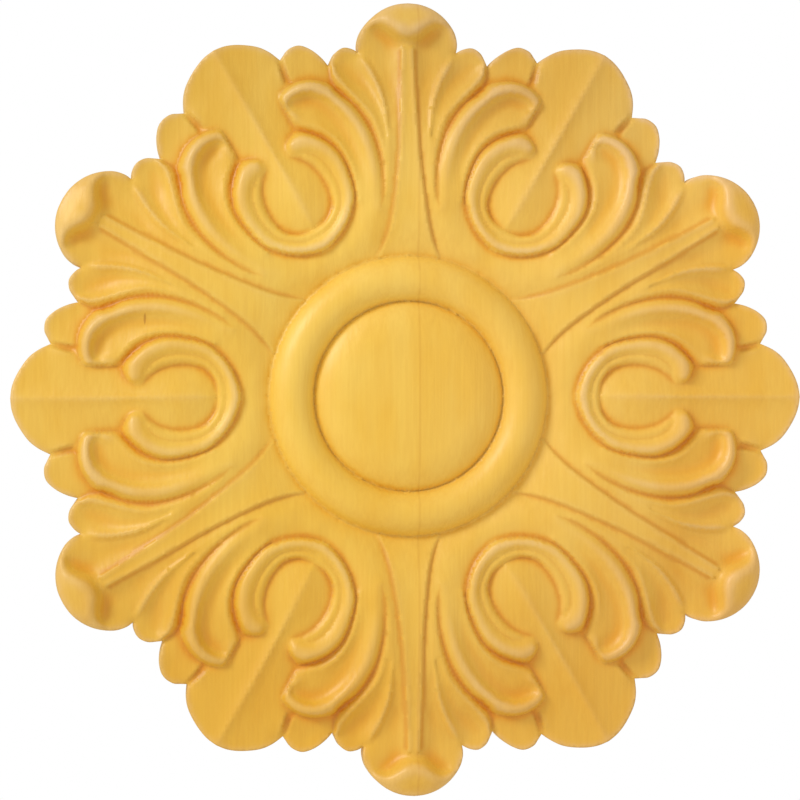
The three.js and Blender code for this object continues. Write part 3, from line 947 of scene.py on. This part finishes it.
class Graph:
    """Lays the nodes of one material."""

    def __init__(self, material: bpy.types.Material) -> None:
        """Takes up the material's nodes and its place on the object.

        Args:
            material: The material, still bare.
        """
        material.use_nodes = True
        self.nodes = material.node_tree.nodes
        self.links = material.node_tree.links
        self.shader = self.nodes["Principled BSDF"]
        self.place = self.nodes.new("ShaderNodeTexCoord").outputs["Object"]

    def join(self, value: object, socket: bpy.types.NodeSocket) -> None:
        """Feeds a socket from another socket, a number or a colour.

        Args:
            value: What goes in.
            socket: Where it goes.
        """
        if isinstance(value, (int, float, tuple)):
            socket.default_value = value
        else:
            self.links.new(value, socket)

    def noise(self, stretch: Mark, size: float, detail: float) -> bpy.types.NodeSocket:
        """Makes a noise stretched along the grain.

        Args:
            stretch: Its density along each axis.
            size: Its overall density.
            detail: How many finer layers it has.

        Returns:
            The noise, from 0 to 1.
        """
        mapping = self.nodes.new("ShaderNodeMapping")
        mapping.inputs["Scale"].default_value = stretch
        self.links.new(self.place, mapping.inputs["Vector"])
        texture = self.nodes.new("ShaderNodeTexNoise")
        texture.inputs["Scale"].default_value = size
        texture.inputs["Detail"].default_value = detail
        self.links.new(mapping.outputs[0], texture.inputs["Vector"])
        return texture.outputs["Fac"]

    def calc(self, kind: str, a: object, b: object) -> bpy.types.NodeSocket:
        """Works out one arithmetic step.

        Args:
            kind: The operation.
            a: First socket or number.
            b: Second socket or number.

        Returns:
            The result.
        """
        node = self.nodes.new("ShaderNodeMath")
        node.operation = kind
        self.join(a, node.inputs[0])
        self.join(b, node.inputs[1])
        return node.outputs[0]

    def ramp(
        self, value: object, low: float, high: float, start: float, end: float
    ) -> bpy.types.NodeSocket:
        """Maps a value smoothly from one range to another.

        Args:
            value: What is mapped.
            low: Where the value's range starts.
            high: Where it ends.
            start: The result at the start.
            end: The result at the end.

        Returns:
            The mapped value.
        """
        node = self.nodes.new("ShaderNodeMapRange")
        node.interpolation_type = "SMOOTHSTEP"
        self.links.new(value, node.inputs["Value"])
        for title, number in zip(("From Min", "From Max", "To Min", "To Max"), (low, high, start, end)):
            node.inputs[title].default_value = number
        return node.outputs["Result"]

    def mix(self, factor: object, a: object, b: object, kind: str = "MIX") -> bpy.types.NodeSocket:
        """Blends two colours.

        Args:
            factor: How much of the second shows.
            a: First colour.
            b: Second colour.
            kind: Way of blending.

        Returns:
            The blended colour.
        """
        node = self.nodes.new("ShaderNodeMix")
        node.data_type = "RGBA"
        node.blend_type = kind
        self.join(factor, node.inputs[0])
        self.join(a, node.inputs[6])
        self.join(b, node.inputs[7])
        return node.outputs[2]

    def stored(self, title: str) -> bpy.types.NodeSocket:
        """Reads a value kept on the mesh.

        Args:
            title: Its name.

        Returns:
            The value.
        """
        node = self.nodes.new("ShaderNodeAttribute")
        node.attribute_name = title
        return node.outputs["Fac"]


@dataclass(frozen=True)
class StainAndShade:
    """A colour laid over the wood where a value runs from one number to another: a stain of the wood,
    painted shade or a painted highlight.
    """

    start: float
    end: float
    strength: float
    color: Color

    def lay(
        self, graph: Graph, value: object, color: object, kind: str = "MULTIPLY"
    ) -> bpy.types.NodeSocket:
        """Lays the colour: a stain, painted shade or a painted highlight.

        Args:
            graph: The material's nodes.
            value: What the colour follows.
            color: The colour below it.
            kind: Way of blending.

        Returns:
            The colour with it laid on.
        """
        shown = graph.ramp(value, self.start, self.end, 0.0, self.strength)
        return graph.mix(shown, color, self.color, kind)


@dataclass(frozen=True)
class Figure:
    """One kind of figure in the wood: its run along the grain, its density and its finer layers."""

    stretch: float
    size: float
    detail: float

    def draw(self, graph: Graph) -> bpy.types.NodeSocket:
        """The figure as a value from 0 to 1."""
        return graph.noise((1.0, 1.0, self.stretch), self.size, self.detail)


@dataclass(frozen=True)
class CarvedWood:
    """Light honey wood under a satin varnish, with painted shade and pooled varnish in the cuts and
    painted highlights on the ridges.
    """

    # The plain face; painted shade with pooled varnish and a painted highlight, both by depth; and
    # varnish with painted groove shade along the cut lines
    face: Color = (0.875, 0.613, 0.168, 1.0)
    cut: StainAndShade = StainAndShade(0.02, 0.45, 1.0, (0.82, 0.40, 0.008, 1.0))
    ridge: StainAndShade = StainAndShade(-0.04, -0.45, 0.9, (0.87, 0.65, 0.43, 1.0))
    line: StainAndShade = StainAndShade(0.05, 1.0, 0.62, (0.82, 0.57, 0.26, 1.0))

    # How much narrow creases and wide hollows count in the painted shade and highlight, how little on the
    # turned boss and ring, and the square of the distance over which that ends
    crease_shade_share: float = 0.18
    hollow_shade_share: float = 0.40
    turned_shade_share: float = 0.4
    turned_square: Place = (0.0054, 0.0068)

    # The wood's figure: bands, fibres, patches and mottle
    fibres: Figure = Figure(0.035, 620.0, 4.0)
    fibre_stain: StainAndShade = StainAndShade(0.3, 0.7, 0.22, (0.86, 0.76, 0.62, 1.0))
    figures: tuple[tuple[Figure, StainAndShade], ...] = (
        (Figure(0.07, 42.0, 3.0), StainAndShade(0.35, 0.65, 0.35, (0.96, 0.88, 0.66, 1.0))),
        (Figure(0.6, 9.0, 2.0), StainAndShade(0.35, 0.7, 0.7, (0.97, 0.89, 0.55, 1.0))),
        (Figure(0.45, 48.0, 3.0), StainAndShade(0.38, 0.68, 0.5, (0.97, 0.88, 0.50, 1.0))),
    )

    # Tones over the panel: by the square of the distance from the centre, by x and by z, in metres; the
    # tone by x is painted shade, darker and less blue towards the left
    outwards: tuple[StainAndShade, ...] = (StainAndShade(0.004, 0.024, 1.0, (0.98, 0.93, 0.80, 1.0)),)
    # Painted shade: darker and less blue towards the left
    across: tuple[StainAndShade, ...] = (
        StainAndShade(-0.04, -0.17, 1.0, (0.92, 0.90, 1.0, 1.0)),
        StainAndShade(0.17, -0.17, 1.0, (1.0, 1.0, 0.64, 1.0)),
    )
    along: tuple[StainAndShade, ...] = (
        StainAndShade(-0.01, -0.15, 1.0, (0.92, 0.86, 0.68, 1.0)),
        StainAndShade(0.08, 0.18, 1.0, (0.86, 0.87, 1.0, 1.0)),
    )

    # The glue line, the second board's tone from there on, and the one dark fleck
    glue_x: float = 0.003
    glue: StainAndShade = StainAndShade(0.0009, 0.0002, 0.20, (0.70, 0.52, 0.34, 1.0))
    board: StainAndShade = StainAndShade(-0.0002, 0.0002, 0.10, (0.95, 0.88, 0.78, 1.0))
    fleck_place: Place = (-0.134, 0.040)
    fleck_size: Place = (0.0006, 0.0028)
    fleck: StainAndShade = StainAndShade(1.6, 0.3, 0.55, (0.45, 0.27, 0.14, 1.0))

    # The satin varnish, over the fibres and soft tool strokes
    roughness: float = 0.46
    coat: float = 0.10
    coat_roughness: float = 0.30
    strokes: Figure = Figure(0.7, 160.0, 2.0)
    stroke_height: float = 2.2
    fibre_height: float = 0.4
    bump_strength: float = 0.3
    bump_depth: float = 0.0004

    def build(self, name: str) -> bpy.types.Material:
        """Makes the node material.

        Args:
            name: Name of the material.

        Returns:
            The material.
        """
        material = bpy.data.materials.new(name)
        graph = Graph(material)
        axes = graph.nodes.new("ShaderNodeSeparateXYZ")
        graph.links.new(graph.place, axes.inputs[0])
        x, z = axes.outputs["X"], axes.outputs["Z"]
        square = graph.calc("ADD", graph.calc("MULTIPLY", x, x), graph.calc("MULTIPLY", z, z))
        fibres = self.fibres.draw(graph)
        color = self.paint_relief_shade(graph, square)
        color = self.fibre_stain.lay(graph, fibres, color)
        for figure, stain in self.figures:
            color = stain.lay(graph, figure.draw(graph), color)
        for value, stains in ((square, self.outwards), (x, self.across), (z, self.along)):
            for stain in stains:
                color = stain.lay(graph, value, color)
        color = self.mark_panel(graph, color, x, z)
        graph.links.new(color, graph.shader.inputs["Base Color"])
        self.varnish(graph, fibres)
        return material

    def paint_relief_shade(self, graph: Graph, square: bpy.types.NodeSocket) -> bpy.types.NodeSocket:
        """Paints shade, with pooled varnish, into the cuts and hollows and a painted highlight onto the
        ridges, then varnish with painted groove shade along the cut lines.

        Args:
            graph: The material's nodes.
            square: Square of the distance from the centre.

        Returns:
            The colour.
        """
        # Painted shade and painted highlight: how far each point is sunk below its surroundings, less on
        # the boss and ring
        crease = graph.calc("MULTIPLY", graph.stored("crease"), self.crease_shade_share)
        hollow = graph.calc("MULTIPLY", graph.stored("hollow"), self.hollow_shade_share)
        share = graph.ramp(square, *self.turned_square, self.turned_shade_share, 1.0)
        depth = graph.calc("MULTIPLY", graph.calc("ADD", crease, hollow), share)
        # Painted shade with pooled varnish where sunk, painted highlight where raised
        color = self.cut.lay(graph, depth, self.face, "MIX")
        color = self.ridge.lay(graph, depth, color, "MIX")
        # Varnish with painted groove shade along the cut lines
        return self.line.lay(graph, graph.stored("varnish"), color)

    def mark_panel(
        self, graph: Graph, color: bpy.types.NodeSocket, x: bpy.types.NodeSocket, z: bpy.types.NodeSocket
    ) -> bpy.types.NodeSocket:
        """Draws the glue line, the second board's tone and the fleck.

        Args:
            graph: The material's nodes.
            color: The colour so far.
            x: Distance to the right, in metres.
            z: Distance up, in metres.

        Returns:
            The colour with the marks.
        """
        from_glue = graph.calc("SUBTRACT", x, self.glue_x)
        color = self.glue.lay(graph, graph.calc("ABSOLUTE", from_glue, 0.0), color)
        color = self.board.lay(graph, from_glue, color)
        squares = []
        for value, place, size in zip((x, z), self.fleck_place, self.fleck_size):
            offset = graph.calc("DIVIDE", graph.calc("SUBTRACT", value, place), size)
            squares.append(graph.calc("POWER", offset, 2.0))
        return self.fleck.lay(graph, graph.calc("ADD", *squares), color)

    def varnish(self, graph: Graph, fibres: bpy.types.NodeSocket) -> None:
        """Gives the surface its satin varnish over fibres and soft tool strokes.

        Args:
            graph: The material's nodes.
            fibres: The figure of the wood's fibres.
        """
        graph.shader.inputs["Roughness"].default_value = self.roughness
        graph.shader.inputs["Coat Weight"].default_value = self.coat
        graph.shader.inputs["Coat Roughness"].default_value = self.coat_roughness
        strokes = graph.calc("MULTIPLY", self.strokes.draw(graph), self.stroke_height)
        raised = graph.ramp(fibres, self.fibre_stain.start, self.fibre_stain.end, 0.0, self.fibre_height)
        bump = graph.nodes.new("ShaderNodeBump")
        bump.inputs["Strength"].default_value = self.bump_strength
        bump.inputs["Distance"].default_value = self.bump_depth
        graph.links.new(graph.calc("ADD", raised, strokes), bump.inputs["Height"])
        graph.links.new(bump.outputs[0], graph.shader.inputs["Normal"])


@dataclass
class CarvedRosette:
    """The rosette itself: one carved piece on the solid's body."""

    node: str = "rosette"
    slot: str = "carved_wood"
    finish: CarvedWood = field(default_factory=CarvedWood)

    def build(self) -> bpy.types.Object:
        """Builds and dresses the piece.

        Returns:
            The finished object.
        """
        boss = Boss()
        relief = Relief(boss, carved_lines(boss), outline_runs())
        piece = RosetteMesh(relief).build("carved_rosette")
        piece.data.materials.append(self.finish.build("honey_wood"))
        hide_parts(self.node)
        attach(piece, "root")
        return piece


@dataclass(frozen=True)
class SoftLight:
    """A square soft light that faces the rosette's centre."""

    name: str
    place: Mark
    size: float
    energy: float

    def hang(self) -> None:
        """Hangs the light in the scene."""
        lamp = bpy.data.lights.new(self.name, "AREA")
        lamp.energy = self.energy
        lamp.size = self.size
        holder = bpy.data.objects.new(self.name, lamp)
        holder.location = self.place
        holder.rotation_euler = (-Vector(self.place)).to_track_quat("-Z", "Y").to_euler()
        bpy.context.scene.collection.objects.link(holder)


@dataclass
class Studio:
    """Pale floor, soft lights and the camera."""

    floor_z: float = -0.55
    floor_size: float = 5.0
    floor_color: Color = (0.86, 0.86, 0.86, 1.0)
    floor_roughness: float = 0.8
    lights: tuple[SoftLight, ...] = (
        SoftLight("key", (-2.6, -1.9, 1.8), 1.0, 61.0),
        SoftLight("fill", (1.3, -1.7, -0.2), 1.6, 3.0),
    )
    surroundings: float = 0.72
    surroundings_color: Color = (1.0, 0.885, 0.63, 1.0)
    backdrop_color: Color = (1.0, 1.0, 1.0, 1.0)
    distance: float = 1.85
    yaw_degrees: float = 7.0
    pixels_per_metre: float = 1990.0
    frame_pixels: float = 800.0
    sensor_mm: float = 36.0
    view_end: float = 50.0
    aim: Mark = (-0.0056, -0.012, -0.0004)

    def lay_floor(self) -> None:
        """Lays a plain pale floor well below the piece."""
        bpy.ops.mesh.primitive_plane_add(size=self.floor_size, location=(0.0, 0.0, self.floor_z))
        floor = bpy.context.object
        floor.name = "floor"
        paint = bpy.data.materials.new("pale_floor")
        paint.use_nodes = True
        shader = paint.node_tree.nodes["Principled BSDF"]
        shader.inputs["Base Color"].default_value = self.floor_color
        shader.inputs["Roughness"].default_value = self.floor_roughness
        floor.data.materials.append(paint)

    def surround(self) -> None:
        """Lets warm surroundings fill in, behind a white backdrop."""
        world = bpy.data.worlds.new("surroundings")
        world.use_nodes = True
        tree = world.node_tree
        glow = tree.nodes["Background"]
        glow.inputs["Color"].default_value = self.surroundings_color
        glow.inputs["Strength"].default_value = self.surroundings
        backdrop = tree.nodes.new("ShaderNodeBackground")
        backdrop.inputs["Color"].default_value = self.backdrop_color
        backdrop.inputs["Strength"].default_value = 1.0
        path = tree.nodes.new("ShaderNodeLightPath")
        choice = tree.nodes.new("ShaderNodeMixShader")
        tree.links.new(path.outputs["Is Camera Ray"], choice.inputs[0])
        tree.links.new(glow.outputs[0], choice.inputs[1])
        tree.links.new(backdrop.outputs[0], choice.inputs[2])
        tree.links.new(choice.outputs[0], tree.nodes["World Output"].inputs["Surface"])
        bpy.context.scene.world = world

    def place_camera(self) -> None:
        """Places the camera a little to the left, level with the centre."""
        camera = bpy.data.cameras.new("camera")
        camera.sensor_width = self.sensor_mm
        camera.lens = self.pixels_per_metre * self.distance * self.sensor_mm / self.frame_pixels
        camera.clip_end = self.view_end
        holder = bpy.data.objects.new("camera", camera)
        yaw = math.radians(self.yaw_degrees)
        aim = Vector(self.aim)
        holder.location = aim + Vector((-math.sin(yaw), -math.cos(yaw), 0.0)) * self.distance
        holder.rotation_euler = (aim - holder.location).to_track_quat("-Z", "Y").to_euler()
        bpy.context.scene.collection.objects.link(holder)
        bpy.context.scene.camera = holder
        bpy.context.scene.view_settings.view_transform = "Standard"
        bpy.context.scene.view_settings.look = "None"

    def build(self) -> None:
        """Sets up the floor, the lights, the surroundings and the camera."""
        self.lay_floor()
        for light in self.lights:
            light.hang()
        self.surround()
        self.place_camera()


def main() -> None:
    """Builds the rosette and its studio."""
    logging.basicConfig(level=logging.INFO, format="%(name)s: %(message)s")
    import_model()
    piece = CarvedRosette().build()
    LOG.info("%s: %d points, %d faces", piece.name, len(piece.data.vertices), len(piece.data.polygons))
    Studio().build()


if __name__ == "__main__":
    main()
